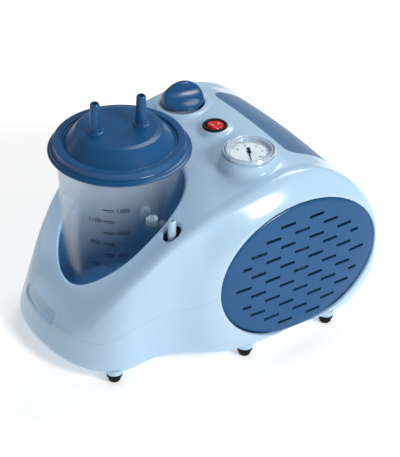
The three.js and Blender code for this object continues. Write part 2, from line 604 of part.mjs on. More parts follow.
function addCylinder() {
  const group = new THREE.Group();
  group.position.set(PUMP.x, MOTOR.y, 0);
  model.add(group);
  const { bore, sleeve, caseTop, sleeveTop } = PUMP;
  const cup = [[0, 111.4], [15, 111.4], [16.6, 116], [15.9, 116], [14.4, 112.8], [0, 112.8]];
  add('piston_cup', turned(cup, 20), RUBBER, group);
  add('cylinder_sleeve', ring(bore, sleeve, caseTop + GAP, sleeveTop, 24), ALUMINIUM, group);
  const corners = [-18, 18].flatMap((dx) => [-18, 18].map((dy) => [dx, dy]));
  const drills = corners.map(([dx, dy]) => column(dx, dy, 1.8, 120, 160, 10));
  const seatZ = sleeveTop + GAP;
  const plate = cut(solidBlock(-22, 22, -22, 22, seatZ, seatZ + 2.6), column(0, -9, 2.5, 120, 140, 12),
    column(0, 9, 2.5, 120, 140, 12), ...drills);
  add('valve_plate', plate, STEEL, group);
  const headZ = seatZ + 2.9;
  const chambers = [-9, 9].map((y) => solidBlock(-14, 14, y - 6, y + 6, headZ - 1, headZ + 8));
  const barbs = [-9, 9].map((y) => toSolid(rod(3, -33, -20, 12, X_AXIS).translate(0, y, headZ + 5)));
  const bores = [-9, 9].map((y) => toSolid(rod(1.8, -40, -10, 10, X_AXIS).translate(0, y, headZ + 5)));
  const head = join(solidBlock(-22, 22, -22, 22, headZ, headZ + 11.5), ...barbs);
  add('cylinder_head', cut(head, ...chambers, ...bores, ...drills), ALUMINIUM, group);
  const stud = [[0, 93.6], [1.5, 93.6], [1.5, headZ + 11.8], [3.2, headZ + 11.8], [3.2, headZ + 14.4],
    [0, headZ + 14.4]];
  corners.forEach(([dx, dy], n) => {
    add(`head_stud_${n + 1}`, turned(stud, 8), STEEL, group).position.set(dx, dy, 0);
  });
}

function addChassis() {
  const { half, y0, y1, z, t } = PLATE;
  add('chassis_plate', block(-half, half, y0, y1, z, z + t), STEEL);
  const low = FLOOR_Z + WALL + GAP;
  const pad = [[0, low], [7, low], [5.8, z - 3.2], [7, z - GAP], [0, z - GAP]];
  [[-55, 34], [55, 34], [-55, 100], [55, 100]].forEach(([x, y], n) => {
    add(`rubber_mount_${n + 1}`, turned(pad, 10), RUBBER).position.set(x, y, 0);
  });
}

function addHoses() {
  const toRegulator = [[6.6, 63, 136.9], [-6, 62, 135.5], [-26, 46, 130], [-42, 24, 134], [-53, 11, 141],
    [-60, 12, 143], [-60, 23.6, 143]];
  add('hose_pump', tube(toRegulator, 4.4, 18), SILICONE);
  const toGauge = [[70, -51, 111.6], [70, -51, 103], [72, -38, 92], [70, -10, 90], [60, 14, 100],
    [51.5, 31, 118], [51, 42, 130], [51, 42, 139.6]];
  add('hose_nipple', tube(toGauge, 4.2, 22), SILICONE);
}

addShells();
addGrilles();
addRearPanel();
addInlet();
addFeet();
addScrews();
addJar();
addLid();
addFloat();
addKnob();
addSwitch();
addGauge();
addNipple();
addMotor();
addFan();
addCrank();
addCylinder();
addChassis();
addHoses();

export default model;
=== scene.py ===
import math

import bmesh
import bpy
import numpy as np
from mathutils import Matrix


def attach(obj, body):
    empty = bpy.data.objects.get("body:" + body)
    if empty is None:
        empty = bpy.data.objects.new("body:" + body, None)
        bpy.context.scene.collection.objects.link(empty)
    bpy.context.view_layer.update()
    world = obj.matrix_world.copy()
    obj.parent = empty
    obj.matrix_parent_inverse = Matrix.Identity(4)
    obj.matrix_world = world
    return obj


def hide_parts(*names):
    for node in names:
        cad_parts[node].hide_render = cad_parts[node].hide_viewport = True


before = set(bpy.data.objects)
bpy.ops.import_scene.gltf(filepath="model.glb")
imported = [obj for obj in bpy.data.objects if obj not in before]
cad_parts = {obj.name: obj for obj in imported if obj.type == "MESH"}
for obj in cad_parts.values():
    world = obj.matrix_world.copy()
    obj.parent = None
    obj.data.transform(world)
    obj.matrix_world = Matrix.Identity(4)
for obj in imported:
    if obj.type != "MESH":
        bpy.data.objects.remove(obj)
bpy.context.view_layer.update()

import openvdb as vdb
from mathutils import Matrix, Vector

# Suction pump: smooth housing, jar and lid, controls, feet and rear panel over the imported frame.
# Shapes are worked out in millimetres and written to meshes in metres.

MM = 0.001
REAR_Y = 148.6
FLOOR_Z = 10
WALL = 3
GAP = 0.3

# ---------------------------------------------------------------- driving dimensions
# Height of the deck along the centre line, as [y, z].
DECK = [
    [-156, 22], [-146, 36], [-130, 53], [-117, 73], [-104, 89.5], [-89, 105], [-69, 123],
    [-55, 133], [-40, 142], [-24, 149], [-6, 155], [20, 163], [41, 168], [60, 170.5],
    [82, 168], [100, 160.5], [116, 149], [131, 132], [141.5, 112.5], [147, 93], [148.6, 76],
]
CROWN = [[-60, 0], [40, 4], [148.6, 5]]      # drop of the deck at CROWN_X, as [y, drop]
CROWN_X = 80
CROWN_MAX = 8
# Half width of the housing low down and at deck height, as [y, x].
WIDTH_LOW = [[-99, 77], [-65, 80], [-52, 82.5], [-37, 87], [-20, 90], [0, 93], [100, 92],
             [130, 86], [148.6, 70]]
WIDTH_TOP = [[-99, 76], [-77, 79], [-55, 82], [-37, 84.5], [-6, 83.5], [41, 80.5],
             [100, 80], [130, 77], [148.6, 66]]
LOW_Z = 12
TOP_Z = 90
NOSE = dict(y_low=-99, y_top=-84, a_low=82, a_top=75, b_low=51, b_top=38, power=2.15)
NOSE_SCALE = 0.93
FENDER = dict(y=59, z=76, front=88, rear=92, b=70, x=111, slope=0.85, grow=32)
FENDER_LIFT = 4                              # rise of the deck's edge over the fenders
LIFT_START = 78
LIFT_SPAN = 20
TRUNK_FRONT = -88
NOTCH = dict(x0=-46, x1=12, z0=33, z1=43, depth=2.0)   # shallow recess across the nose
SEAM = [[-200, 37], [-130, 37], [-101, 50], [-80, 57], [-66, 62], [-45, 67], [-24, 77], [200, 77]]

JAR_Y = -60
WELL = dict(r=57, wall=2.4, floor=19)
JAR = dict(r_low=51, r_top=55, z0=21.8, z1=192, shoulder=180, wall=2, neck=54.6)
LID = dict(z=185.5, flange=63.3, wall=58.3, rim_top=195.6, ring=50.5, plateau=37, top=207)
PORTS = [(-3.5, -82), (6.5, -41.5)]
PORT = dict(top=236, r_top=4.2, r_foot=5.4, bore=2.6, collar=7.5)
FLOAT = dict(x=14, y=-36, top=204.1, neck=126, bottom=102)
MARKS = dict(angle=-42.5, z_full=156, step=11.8, full=1200, first=200, length=10.5, digits=6,
             digits_out=7.4)

GRILLE = dict(y=59, z=78, a=83.3, b=66, x=110.3, dome=2.4, t=1.8)
SLOT = dict(length=16, short=9, height=3, pitch=30.7, row=10.3, z=76.4, y=59.6)
SLOT_ROWS = [2, 3, 4, 5, 4, 5, 4, 5, 4, 3, 2]
SHORT_ENDED = [3, 7]

KNOB = dict(x=-60, y=44, z=167, socket=24.4, r=20, rim=168.4, lift=3.3, height=20.4,
            turn=76)
SWITCH = dict(x=-6, y=44, z=170.5, pod=12.6, bezel=11.6, tilt=-8)
GAUGE = dict(x=51, y=42, z=173, pod=24.4, ring=23.3, face=19.2, dial=173.2)
NEEDLE_REST = -28
SCALE_SWEEP = 240
SCALE_STEPS = 50
# Thin dark rings of painted shade on the gauge, on its dial and in its bezel's groove, as (inner, outer,
# z).
SHADE_RINGS = ((17.3, 17.5, GAUGE["dial"] + 0.02),
                 (GAUGE["ring"] - 1.95, GAUGE["ring"] - 1.35, 175.52))
NIPPLE = dict(x=70, y=-51, hole=8, r=3.75, bore=2, top=146, foot=120)

REAR = dict(y=78, half=64, corner=14, bottom=32)
POCKET = dict(half=46, y=116, z0=98, z1=126, wall=2.2)
INLET = dict(x=-42, z=66, w=28, h=46, depth=24, flange=3.5)
FEET = [(103, 5), (103, 95), (72, -113)]
POSTS = [(86, 78), (66, -92)]
POST_R = 4.5
SCREW_HOLE_R = 1.8

SEAM_GAP = 0.14
SKIN_INSET = 0.06                            # keeps the fine skin within the CAD shell's size
SKIN_PITCH = 1.3                             # spacing of the housing's surface points
LINING_PITCH = 3.0
HOUSING_BOX = ((-118, -156, 2), (118, 156, 184))   # space searched for the housing's surface


# ---------------------------------------------------------------- housing surface
def smooth_min(a, b, k):
    h = np.maximum(k - np.abs(a - b), 0) / k
    return np.minimum(a, b) - h * h * k / 4


def smooth_max(a, b, k):
    return -smooth_min(-a, -b, k)


def curve(pairs):
    """Monotone cubic through [t, value] pairs, held level beyond the ends."""
    t = np.array([p[0] for p in pairs], float)
    v = np.array([p[1] for p in pairs], float)
    h = np.diff(t)
    slope = np.diff(v) / h
    tangent = np.concatenate([[slope[0]], np.zeros(len(slope) - 1), [slope[-1]]])
    for i in range(1, len(slope)):
        before, after = slope[i - 1], slope[i]
        if before * after > 0:
            w0, w1 = 2 * h[i] + h[i - 1], h[i] + 2 * h[i - 1]
            tangent[i] = (w0 + w1) / (w0 / before + w1 / after)

    def at(where):
        x = np.clip(where, t[0], t[-1])
        i = np.clip(np.searchsorted(t, x, side="right") - 1, 0, len(h) - 1)
        u = (x - t[i]) / h[i]
        rise = u * u * (3 - 2 * u)
        lean = h[i] * u * (1 - u) * (tangent[i] * (1 - u) - tangent[i + 1] * u)
        return v[i] * (1 - rise) + v[i + 1] * rise + lean

    return at


deck_height = curve(DECK)
crown_drop = curve(CROWN)
low_width = curve(WIDTH_LOW)
top_width = curve(WIDTH_TOP)
seam_height = curve(SEAM)


def ellipse(a, b, radius_a, radius_b, power):
    """Distance to an ellipse-like outline of the given power."""
    u = np.abs(a) / radius_a + 1e-9
    v = np.abs(b) / radius_b + 1e-9
    r = (u ** power + v ** power) ** (1 / power)
    steep = np.hypot(u ** (power - 1) / radius_a, v ** (power - 1) / radius_b)
    return (r - 1) / (steep / r ** (power - 1) + 1e-9)


def deck_field(x, y, z):
    drop = np.minimum(crown_drop(y) * (x / CROWN_X) ** 2, CROWN_MAX)
    slope = (deck_height(y + 1.5) - deck_height(y - 1.5)) / 3
    return (z - deck_height(y) + drop) / np.hypot(1, slope)


def trunk_field(x, y, z):
    rise = np.clip((z - LOW_Z) / (TOP_Z - LOW_Z), 0, 1)
    mix = lambda low, top: low + (top - low) * rise
    side = (x - mix(low_width(y), top_width(y))) * 0.98
    trunk = smooth_max(smooth_max(side, y - REAR_Y, 60), TRUNK_FRONT - y, 30)
    nose = NOSE_SCALE * ellipse(
        x, y - mix(NOSE["y_low"], NOSE["y_top"]), mix(NOSE["a_low"], NOSE["a_top"]),
        mix(NOSE["b_low"], NOSE["b_top"]), NOSE["power"])
    return smooth_min(trunk, nose, 14)


def fender_field(x, y, z):
    f = FENDER
    grow = f["slope"] * np.clip(f["x"] - x, 0, f["grow"])
    ahead = y < f["y"]
    power = np.where(z > f["z"], 2.0, np.where(ahead, 4.0, 2.4))
    radius = np.where(ahead, f["front"], f["rear"])
    disc = ellipse(y - f["y"], z - f["z"], radius, f["b"], power)
    return smooth_max((disc - grow) / math.hypot(1, f["slope"]), x - f["x"], 14)


def housing_field(x_signed, y, z):
    x = np.abs(x_signed)
    deck = deck_field(x, y, z)
    u = np.clip((x - LIFT_START) / LIFT_SPAN, 0, 1)
    lift = FENDER_LIFT * u * u * (3 - 2 * u)
    field = smooth_max(trunk_field(x, y, z), deck, 6)
    field = smooth_min(field, fender_field(x, y, z), 30)
    field = smooth_max(field, deck - lift, 8)
    field = smooth_max(field, y - REAR_Y, 8)
    return smooth_max(field, FLOOR_Z - z, 8)


def pod_field(x, y, z, place, r_foot, z_foot, r_top):
    """Raised cone with a flat top, which carries a control."""
    taper = (r_top - r_foot) / (place["z"] - z_foot)
    radial = np.hypot(x - place["x"], y - place["y"]) - r_foot - taper * (z - z_foot)
    radial = radial / math.hypot(1, taper)
    return smooth_max(smooth_max(radial, z - place["z"], 2), z_foot - 12 - z, 4)


def pit_field(x, y, z, place, r, floor):
    """Round hole down to a floor."""
    return np.maximum(np.hypot(x - place["x"], y - place["y"]) - r, floor - z)


def notched(field, x, y, z):
    """Field with the nose recess sunk into it by an even depth."""
    middle, half = (NOTCH["x0"] + NOTCH["x1"]) / 2, (NOTCH["x1"] - NOTCH["x0"]) / 2
    level, tall = (NOTCH["z0"] + NOTCH["z1"]) / 2, (NOTCH["z1"] - NOTCH["z0"]) / 2
    over = np.maximum(np.abs(x - middle) - half + tall, 0)
    window = np.maximum(np.hypot(over, z - level) - tall, y + 110)
    pit = smooth_max(window, -(field + NOTCH["depth"]), 1.5)
    return smooth_max(field, -pit, 1.5)


def skin_field(x, y, z):
    """Outer surface of the housing with its pods, well, recesses and openings."""
    field = housing_field(x, y, z) + SKIN_INSET
    knob_seat = {**KNOB, "z": KNOB["rim"]}
    field = smooth_min(field, pod_field(x, y, z, knob_seat, KNOB["socket"] + 2.6, 150, KNOB["socket"]), 4)
    field = smooth_min(field, pod_field(x, y, z, SWITCH, SWITCH["pod"] + 2, 152, SWITCH["pod"]), 5)
    field = smooth_min(field, pod_field(x, y, z, GAUGE, GAUGE["pod"] + 6.4, 141, GAUGE["pod"]), 3.5)
    field = smooth_max(field, -pit_field(x, y, z, KNOB, KNOB["r"] + 0.6, KNOB["z"] - 1.5), 1)
    well = pit_field(x, y, z, dict(x=0, y=JAR_Y), WELL["r"], WELL["floor"] + WELL["wall"])
    field = smooth_max(field, -well, 3)
    field = smooth_max(field, -pit_field(x, y, z, NIPPLE, NIPPLE["hole"], NIPPLE["foot"]), 2)
    plug = ellipse(y - GRILLE["y"], z - GRILLE["z"], GRILLE["a"] + GAP, GRILLE["b"] + GAP, 2.0)
    field = smooth_max(field, -np.maximum(plug, 92 - np.abs(x)), 2)
    return notched(field, x, y, z)


def project(field, points, reach, rounds=4):
    """Moves points onto the field's zero surface along its gradient."""
    p = points.copy()
    e = 0.05
    for _ in range(rounds):
        value = field(p[:, 0], p[:, 1], p[:, 2])
        grad = np.empty_like(p)
        for axis in range(3):
            step = np.zeros(3)
            step[axis] = e
            ahead, behind = p + step, p - step
            grad[:, axis] = (field(ahead[:, 0], ahead[:, 1], ahead[:, 2])
                             - field(behind[:, 0], behind[:, 1], behind[:, 2])) / (2 * e)
        size = np.maximum((grad ** 2).sum(1), 0.2)
        move = -(value / size)[:, None] * grad
        length = np.linalg.norm(move, axis=1, keepdims=True)
        p += move * np.minimum(1, reach / np.maximum(length, 1e-9))
    return p


def surface(field, low, high, pitch, stride=4):
    """Vertices and faces of the field's zero surface inside a box."""
    low = np.array(low, float)
    count = (np.ceil((np.array(high) - low) / pitch / stride).astype(int) + 1) * stride
    axes = [low[i] + pitch * np.arange(count[i]) for i in range(3)]
    coarse = field(*np.meshgrid(*[a[::stride] for a in axes], indexing="ij"))
    values = coarse.repeat(stride, 0).repeat(stride, 1).repeat(stride, 2)
    near = np.argwhere(np.abs(values) < 2.3 * stride * pitch)
    values[near[:, 0], near[:, 1], near[:, 2]] = field(
        axes[0][near[:, 0]], axes[1][near[:, 1]], axes[2][near[:, 2]])
    grid = vdb.FloatGrid(pitch * 8)
    grid.copyFromArray(np.ascontiguousarray(values, dtype=np.float32))
    points, _, quads = grid.convertToPolygons(0.0, 0.0)
    points = low + np.asarray(points, float) * pitch
    return project(field, points, pitch * 0.5), np.asarray(quads)


# ---------------------------------------------------------------- mesh tools
def obj_from(name, verts, faces):
    mesh = bpy.data.meshes.new(name)
    mesh.from_pydata(np.asarray(verts, float) * MM, [], [tuple(f) for f in faces])
    mesh.update()
    obj = bpy.data.objects.new(name, mesh)
    bpy.context.scene.collection.objects.link(obj)
    return obj


def facing_out(obj):
    bm = bmesh.new()
    bm.from_mesh(obj.data)
    bmesh.ops.remove_doubles(bm, verts=bm.verts, dist=1e-7)
    bmesh.ops.recalc_face_normals(bm, faces=bm.faces)
    bm.to_mesh(obj.data)
    bm.free()
    return obj


def discard(obj):
    mesh = obj.data
    bpy.data.objects.remove(obj)
    bpy.data.meshes.remove(mesh)


def settle(obj):
    """Applies the object's modifiers to its mesh."""
    bpy.context.view_layer.update()
    graph = bpy.context.evaluated_depsgraph_get()
    mesh = bpy.data.meshes.new_from_object(obj.evaluated_get(graph))
    obj.modifiers.clear()
    old = obj.data
    obj.data = mesh
    bpy.data.meshes.remove(old)
    return obj


def combine(base, operation, *tools, keep=False):
    for tool in tools:
        step = base.modifiers.new("combine", "BOOLEAN")
        step.operation = operation
        step.solver = "MANIFOLD"
        step.object = tool
        settle(base)
        if not keep:
            discard(tool)
    return base


def cut(base, *tools, keep=False):
    return combine(base, "DIFFERENCE", *tools, keep=keep)


def join(base, *tools, keep=False):
    return combine(base, "UNION", *tools, keep=keep)


def overlap(base, tool, keep=False):
    return combine(base, "INTERSECT", tool, keep=keep)


def copy_of(obj, name):
    twin = bpy.data.objects.new(name, obj.data.copy())
    bpy.context.scene.collection.objects.link(twin)
    return twin


def merged(name, parts):
    """One object holding several separate solids."""
    verts = []
    faces = []
    for part in parts:
        base = len(verts)
        verts.extend(v.co / MM for v in part.data.vertices)
        faces.extend([i + base for i in f.vertices] for f in part.data.polygons)
        discard(part)
    return obj_from(name, [tuple(v) for v in verts], faces)


def fillet(points, radius, steps=4, closed=False):
    """Outline with its corners rounded; radius is one value or one for each corner."""
    count = len(points)
    radii = radius if isinstance(radius, (list, tuple)) else [radius] * count
    pts = [np.array(p, float) for p in points]
    out = []
    for i, p in enumerate(pts):
        if not closed and i in (0, count - 1):
            out.append(p)
            continue
        before = pts[i - 1] - p
        after = pts[(i + 1) % count] - p
        la, lb = np.linalg.norm(before), np.linalg.norm(after)
        turn = math.pi - math.acos(float(np.clip(before @ after / (la * lb), -1, 1)))
        back = min(radii[i] * math.tan(min(turn, 3.0) / 2), 0.48 * la, 0.48 * lb)
        if back < 1e-4 or turn < 0.03:
            out.append(p)
            continue
        a, b = p + before / la * back, p + after / lb * back
        for n in range(steps + 1):
            s = n / steps
            out.append(a * (1 - s) ** 2 + p * 2 * s * (1 - s) + b * s ** 2)
    return [tuple(q) for q in out]


AXES = {
    "z": Matrix.Identity(3),
    "x": Matrix(((0, 0, 1), (1, 0, 0), (0, 1, 0))),
    "y": Matrix(((1, 0, 0), (0, 0, 1), (0, 1, 0))),
}


def placed(verts, axis, at):
    turn = np.array(AXES[axis])
    return np.asarray(verts, float) @ turn.T + np.array(at, float)


def lathe(name, profile, segments=96, at=(0, 0, 0), axis="z"):
    """Turned solid from (radius, height) points, open on the axis or closed on itself."""
    closed = profile[0][0] > 1e-6
    rings = []
    verts = []
    for r, h in profile:
        if r < 1e-6:
            rings.append([len(verts)] * segments)
            verts.append((0, 0, h))
            continue
        rings.append(list(range(len(verts), len(verts) + segments)))
        angles = np.arange(segments) * 2 * math.pi / segments
        verts.extend(zip(r * np.cos(angles), r * np.sin(angles), [h] * segments))
    pairs = list(zip(rings, rings[1:])) + ([(rings[-1], rings[0])] if closed else [])
    faces = []
    for one, two in pairs:
        for n in range(segments):
            m = (n + 1) % segments
            face = list(dict.fromkeys([one[n], one[m], two[m], two[n]]))
            if len(face) > 2:
                faces.append(face)
    return facing_out(obj_from(name, placed(verts, axis, at), faces))


def prism(name, outline, h0, h1, axis="z", at=(0, 0, 0)):
    n = len(outline)
    verts = [(u, v, h0) for u, v in outline] + [(u, v, h1) for u, v in outline]
    faces = [list(range(n)), list(range(n, 2 * n))]
    faces += [[i, (i + 1) % n, n + (i + 1) % n, n + i] for i in range(n)]
    return facing_out(obj_from(name, placed(verts, axis, at), faces))


def rectangle(w, h, r, cx=0, cy=0, steps=5):
    corners = [(cx - w / 2, cy - h / 2), (cx + w / 2, cy - h / 2),
               (cx + w / 2, cy + h / 2), (cx - w / 2, cy + h / 2)]
    return fillet(corners, r, steps, closed=True)


def rod(r, h0, h1, at=(0, 0, 0), segments=64, edge=0):
    profile = [(0, h0), (r, h0), (r, h1), (0, h1)]
    return lathe("rod", fillet(profile, edge, 3) if edge else profile, segments, at)


def bevelled(obj, width, segments=3, angle=40):
    step = obj.modifiers.new("edges", "BEVEL")
    step.width = width * MM
    step.segments = segments
    step.limit_method = "ANGLE"
    step.angle_limit = math.radians(angle)
    return settle(obj)


def show(obj, name, body, slot, *nodes, sharp=32):
    """Names a piece, gives it its slot's material and sets it in the frame."""
    obj.name = name
    obj.data.name = name
    obj.data.shade_smooth()
    obj.data.set_sharp_from_angle(angle=math.radians(sharp))
    obj.data.materials.clear()
    obj.data.materials.append(MATERIALS[slot])
    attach(obj, body)
    if nodes:
        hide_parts(*nodes)
    return obj


# ---------------------------------------------------------------- materials
def node(tree, kind, **values):
    made = tree.nodes.new(kind)
    for key, value in values.items():
        if key in made.inputs:
            made.inputs[key].default_value = value
        else:
            setattr(made, key, value)
    return made


def noise(tree, place, scale, detail=3.0, stretch=(1, 1, 1)):
    spread = node(tree, "ShaderNodeMapping")
    spread.inputs["Scale"].default_value = stretch
    tree.links.new(place, spread.inputs["Vector"])
    made = node(tree, "ShaderNodeTexNoise", Scale=scale, Detail=detail)
    tree.links.new(spread.outputs["Vector"], made.inputs["Vector"])
    return made.outputs["Fac"]


def ranged(tree, value, low, high, start=0.3, end=0.7):
    made = node(tree, "ShaderNodeMapRange")
    for key, number in (("From Min", start), ("From Max", end), ("To Min", low), ("To Max", high)):
        made.inputs[key].default_value = number
    tree.links.new(value, made.inputs["Value"])
    return made.outputs["Result"]


def linear(color):
    return [((c + 0.055) / 1.055) ** 2.4 if c > 0.04 else c / 12.92 for c in color]


def shade(color, factor):
    return tuple(min(c * factor, 1) for c in linear(color)) + (1,)


def material(name, color, rough, vary=0.04, grain=900, grain_depth=0.04, scuff=0.05,
             wear=1.0, **fixed):
    """Moulded or metal surface: colour drift, rubbed patches, fine scratches and grain."""
    made = bpy.data.materials.new(name)
    made.use_nodes = True
    tree = made.node_tree
    shader = tree.nodes["Principled BSDF"]
    for key, value in fixed.items():
        shader.inputs[key.replace("_", " ")].default_value = value
    place = node(tree, "ShaderNodeTexCoord").outputs["Object"]
    drift = ranged(tree, noise(tree, place, 18, 4), 0, 1)
    rubbed = ranged(tree, noise(tree, place, 95, 6), 0, 1, 0.55, 0.78)
    tint = node(tree, "ShaderNodeMix", data_type="RGBA")
    tint.inputs["A"].default_value = shade(color, 1 - vary)
    tint.inputs["B"].default_value = shade(color, 1 + vary)
    tree.links.new(drift, tint.inputs["Factor"])
    worn = node(tree, "ShaderNodeMix", data_type="RGBA")
    amount = ranged(tree, rubbed, 0, 0.12 * wear, 0, 1)
    worn.inputs["B"].default_value = shade(color, 1.25)
    tree.links.new(tint.outputs["Result"], worn.inputs["A"])
    tree.links.new(amount, worn.inputs["Factor"])
    tree.links.new(worn.outputs["Result"], shader.inputs["Base Color"])
    scratch = ranged(tree, noise(tree, place, 700, 2, (1, 0.06, 1)), 0, 1, 0.62, 0.8)
    added = node(tree, "ShaderNodeMath", operation="ADD")
    tree.links.new(ranged(tree, rubbed, rough, rough + scuff, 0, 1), added.inputs[0])
    tree.links.new(ranged(tree, scratch, 0, scuff, 0, 1), added.inputs[1])
    tree.links.new(added.outputs["Value"], shader.inputs["Roughness"])
    bump = node(tree, "ShaderNodeBump", Strength=grain_depth, Distance=0.0006)
    tree.links.new(noise(tree, place, grain, 2), bump.inputs["Height"])
    tree.links.new(bump.outputs["Normal"], shader.inputs["Normal"])
    return made


def brushed(name, color, rough, stretch=(1, 1, 30)):
    """Metal with a directional grain."""
    made = material(name, color, rough, 0.05, 260, 0.02, 0.12, Metallic=1.0)
    tree = made.node_tree
    place = tree.nodes["Texture Coordinate"].outputs["Object"]
    bump = tree.nodes["Bump"]
    tree.links.new(noise(tree, place, 60, 3, stretch), bump.inputs["Height"])
    return made


def hazed(made):
    """Painted sheen: makes a clear material whiter and more opaque (milky) towards the top, front and left
    of the jar, standing in for the bright surroundings seen through it and reflected there.
    """
    tree = made.node_tree
    shader = tree.nodes["Principled BSDF"]
    lean = node(tree, "ShaderNodeVectorMath", operation="DOT_PRODUCT")
    lean.inputs[1].default_value = (-0.45, -0.7, 1)
    tree.links.new(tree.nodes["Texture Coordinate"].outputs["Object"], lean.inputs[0])
    height = lean.outputs["Value"]
    tree.links.new(ranged(tree, height, 0.2, 0.76, 0.16, 0.26), shader.inputs["Alpha"])
    tree.links.new(ranged(tree, height, 1, 0.3, 0.16, 0.27), shader.inputs["Transmission Weight"])
    return made


def make_materials():
    clear = dict(Transmission_Weight=1.0, IOR=1.15, Alpha=0.15, Specular_IOR_Level=1.0)
    return {
        "pale_shell": material("pale_shell", (0.685, 0.80, 0.893), 0.2, 0.015, 700, 0.012, 0.05, 0.4,
                               Coat_Weight=0.2, Coat_Roughness=0.08),
        "navy_gloss": material("navy_gloss", (0.108, 0.315, 0.5), 0.22, 0.05, 900, 0.012, 0.07, 0.6,
                               Specular_IOR_Level=0.25, Coat_Weight=0.03, Coat_Roughness=0.05),
        "slate_satin": material("slate_satin", (0.27, 0.43, 0.58), 0.42, 0.03, 1600, 0.12, 0.06, 0.8),
        "black_plastic": material("black_plastic", (0.02, 0.025, 0.036), 0.4, 0.1, 1500, 0.08,
                                  Specular_IOR_Level=0.25),
        "red_rocker": material("red_rocker", (0.74, 0.03, 0.03), 0.16, 0.08, 500, 0.01, 0.04, 0.4,
                               Emission_Color=(0.9, 0.02, 0.01, 1), Emission_Strength=0.14,
                               Coat_Weight=0.2, Coat_Roughness=0.06),
        "foot_rubber": material("foot_rubber", (0.02, 0.025, 0.038), 0.6, 0.15, 1100, 0.3, 0.12,
                                Specular_IOR_Level=0.2),
        "mount_rubber": material("mount_rubber", (0.06, 0.06, 0.06), 0.8, 0.15, 1100, 0.3, 0.1),
        # painted sheen: the jar turns whiter and more opaque towards its top, front and left
        "clear_jar": hazed(material("clear_jar", (0.90, 0.95, 0.985), 0.03, 0.01, 120, 0.015, 0.03,
                                    0.2, **clear)),
        "clear_lens": material("clear_lens", (0.96, 0.975, 0.98), 0.02, 0.01, 120, 0.005, 0.02, 0.2,
                               **{**clear, "Alpha": 0.1}),
        "silicone": material("silicone", (0.84, 0.86, 0.86), 0.45, 0.03, 700, 0.05,
                             Subsurface_Weight=0.15),
        "float_white": material("float_white", (0.42, 0.49, 0.57), 0.4, 0.02, 900, 0.04,
                                Transmission_Weight=0.5, Alpha=0.3),
        "gauge_steel": material("gauge_steel", (0.84, 0.90, 0.95), 0.12, 0.02, 400, 0.01, 0.05,
                                Metallic=0.55),
        "dial_white": material("dial_white", (0.88, 0.935, 0.965), 0.55, 0.01, 1800, 0.05),
        "needle_black": material("needle_black", (0.04, 0.05, 0.07), 0.7, 0.1, 900, 0.02,
                                 Specular_IOR_Level=0.1),
        "zinc_steel": brushed("zinc_steel", (0.68, 0.70, 0.72), 0.3),
        "bearing_steel": brushed("bearing_steel", (0.60, 0.61, 0.63), 0.22, (30, 1, 1)),
        "lamination": brushed("lamination", (0.36, 0.36, 0.38), 0.45, (60, 1, 1)),
        "cast_aluminium": material("cast_aluminium", (0.70, 0.71, 0.73), 0.45, 0.05, 500, 0.35, 0.1,
                                   Metallic=1.0),
        "chassis_metal": material("chassis_metal", (0.55, 0.57, 0.60), 0.4, 0.04, 1000, 0.15),
    }


def four(name):
    return [f"{name}_{n}" for n in range(1, 5)]


# CAD nodes that stay in view, by material slot.
CARRIED = {
    "zinc_steel": [*four("housing_screw"), *four("head_stud"), "regulator_collar", "valve_plate"],
    "bearing_steel": ["bearing_rear", "bearing_front", "motor_shaft", "eccentric"],
    "lamination": ["rotor_core"],
    "cast_aluminium": ["motor_housing", "motor_end_bell", "crankcase", "connecting_rod",
                       "cylinder_sleeve", "cylinder_head"],
    "chassis_metal": ["chassis_plate"],
    "black_plastic": ["regulator_valve", "cooling_fan"],
    "mount_rubber": [*four("rubber_mount"), "piston_cup"],
    "silicone": ["hose_pump", "hose_nipple"],
}


def finish_carried_nodes():
    for slot, names in CARRIED.items():
        for name in names:
            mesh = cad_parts[name].data
            mesh.materials.clear()
            mesh.materials.append(MATERIALS[slot])


# ---------------------------------------------------------------- housing shells
def each_side(pairs):
    return [(sign * x, y) for x, y in pairs for sign in (1, -1)]


def rear_region(grow):
    """Region of the rear panel seen from above, grown by a clearance."""
    half, back = REAR["half"] + grow, REAR_Y + 20
    corners = [(half, back), (half, REAR["y"] - grow), (-half, REAR["y"] - grow), (-half, back)]
    radius = REAR["corner"] + grow
    outline = fillet(corners, [0, radius, radius, 0], 12, closed=True)
    return prism("rear_region", outline, REAR["bottom"] - grow, 260)


def seam_region(above):
    """Everything above or below the parting line, kept half a gap away from it."""
    shift = SEAM_GAP / 2 if above else -SEAM_GAP / 2
    line = [(y, float(seam_height(y)) + shift) for y in np.linspace(-200, 200, 161)]
    far = 300 if above else -50
    return prism("seam_region", line + [(200, far), (-200, far)], -200, 200, "x")


def lining_solid(inset):
    field = lambda x, y, z: housing_field(x, y, z) + inset
    verts, faces = surface(field, *HOUSING_BOX, LINING_PITCH)
    return obj_from("lining", verts, faces)


def hollows():
    """Room for the controls' seats and stems under the deck."""
    return [
        rod(KNOB["socket"] - 3, 130, KNOB["z"] - 5, (KNOB["x"], KNOB["y"], 0)),
        rod(SWITCH["pod"] - 1.5, 130, SWITCH["z"] - 3.5, (SWITCH["x"], SWITCH["y"], 0)),
        rod(GAUGE["pod"] - 0.5, 130, 156, (GAUGE["x"], GAUGE["y"], 0)),
        rod(6.3, 130, 200, (KNOB["x"], KNOB["y"], 0)),
        rod(9.8, 130, 200, (SWITCH["x"], SWITCH["y"], 0)),
        rod(21.2, 130, 200, (GAUGE["x"], GAUGE["y"], 0)),
    ]


